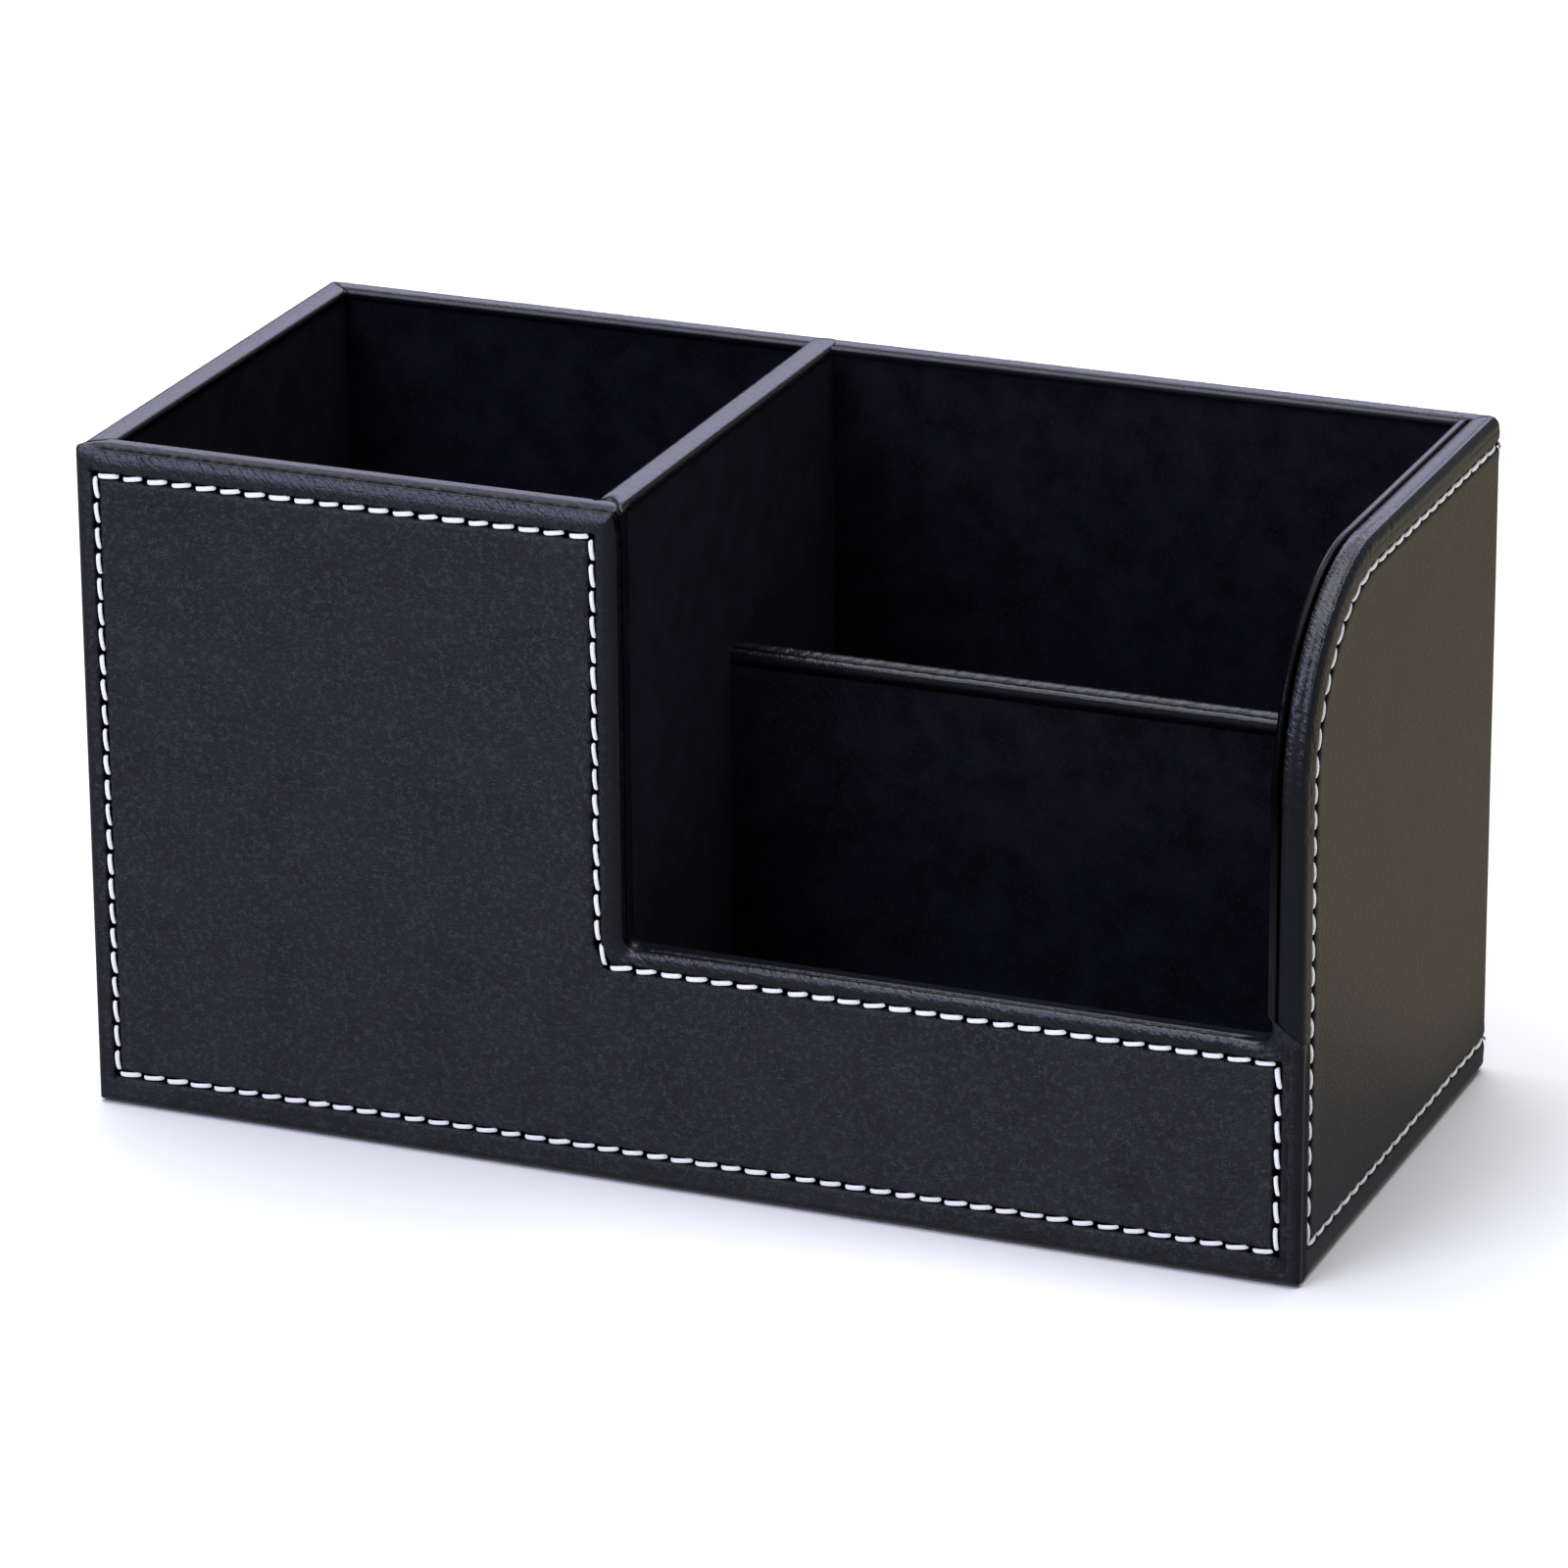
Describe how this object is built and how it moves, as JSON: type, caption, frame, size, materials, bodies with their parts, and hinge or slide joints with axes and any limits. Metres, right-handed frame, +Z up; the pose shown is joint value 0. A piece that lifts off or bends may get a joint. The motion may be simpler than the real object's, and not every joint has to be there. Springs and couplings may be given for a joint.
{
  "type": "desk organizer",
  "caption": "Leatherette-covered desk organiser with a tall pen bay and two open bays behind a low front wall, one side panel with a rounded shoulder.",
  "frame": {"origin": "middle of the footprint, on the desk", "axes": "+X to the right along the front, +Y towards the back wall, +Z up"},
  "size_m": [0.2006, 0.0936, 0.109],
  "materials": {
    "fibreboard": "raw medium-density fibreboard",
    "leatherette": "black fine-grained leatherette, satin",
    "lining_cloth": "black brushed flannelette on card",
    "felt": "black non-slip felt",
    "thread": "white polyester sewing thread"
  },
  "bodies": {
    "root": {"front_board": "fibreboard", "back_board": "fibreboard", "left_board": "fibreboard", "right_board": "fibreboard", "base_board": "fibreboard", "tall_divider_board": "fibreboard", "low_divider_board": "fibreboard", "front_skin": "leatherette", "side_wrap": "leatherette", "tall_divider_cap": "leatherette", "low_divider_cap": "leatherette", "pen_bay_front_lining": "lining_cloth", "pen_bay_back_lining": "lining_cloth", "pen_bay_left_lining": "lining_cloth", "pen_bay_right_lining": "lining_cloth", "pen_bay_floor_lining": "lining_cloth", "divider_right_lining": "lining_cloth", "right_lining": "lining_cloth", "rear_bay_back_lining": "lining_cloth", "rear_bay_front_lining": "lining_cloth", "rear_bay_floor_lining": "lining_cloth", "front_bay_back_lining": "lining_cloth", "front_bay_front_lining": "lining_cloth", "front_bay_floor_lining": "lining_cloth", "base_felt": "felt", "front_stitching": "thread", "side_stitching": "thread"}
  },
  "joints": []
}
